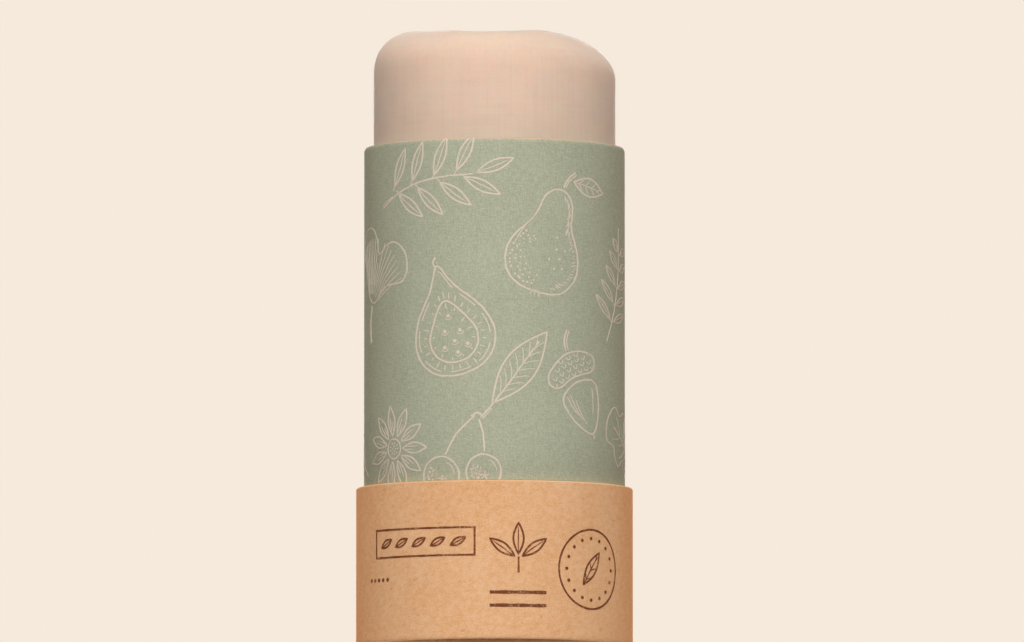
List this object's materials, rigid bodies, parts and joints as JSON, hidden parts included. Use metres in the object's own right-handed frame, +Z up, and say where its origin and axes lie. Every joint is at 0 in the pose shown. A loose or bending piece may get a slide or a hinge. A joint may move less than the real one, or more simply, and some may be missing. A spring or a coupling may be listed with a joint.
{
  "type": "deodorant stick",
  "caption": "Push-up deodorant stick in a printed paper tube with a kraft base collar; the worn bar rides on a piston pushed from below.",
  "frame": {"origin": "centre of the base, on the surface that the stick stands on", "axes": "+Z up along the tube towards the bar; -Y faces the viewer of the picture; +X to the viewer's right, the worn side of the bar"},
  "size_m": [0.0424, 0.0425, 0.0959],
  "materials": {
    "kraft_board": "uncoated rolled board, matte with fine fibres",
    "kraft_collar": "smooth kraft paper, matte",
    "green_paper": "printed uncoated paper, matte",
    "cream_ink": "matte ink",
    "brown_ink": "matte ink",
    "deodorant_wax": "smooth wax-like solid with a soft sheen"
  },
  "bodies": {
    "tube": {"body_tube": "kraft_board", "printed_wrap": "green_paper", "wrap_print": "cream_ink", "base_collar": "kraft_collar", "collar_print": "brown_ink"},
    "piston": {"piston_disc": "kraft_board", "piston_ring": "kraft_board", "deodorant_bar": "deodorant_wax"}
  },
  "joints": [
    {"name": "push_up", "type": "slide", "parent": "tube", "child": "piston", "axis": [0, 0, 1], "range_m": [-0.0212, 0.0426]}
  ]
}
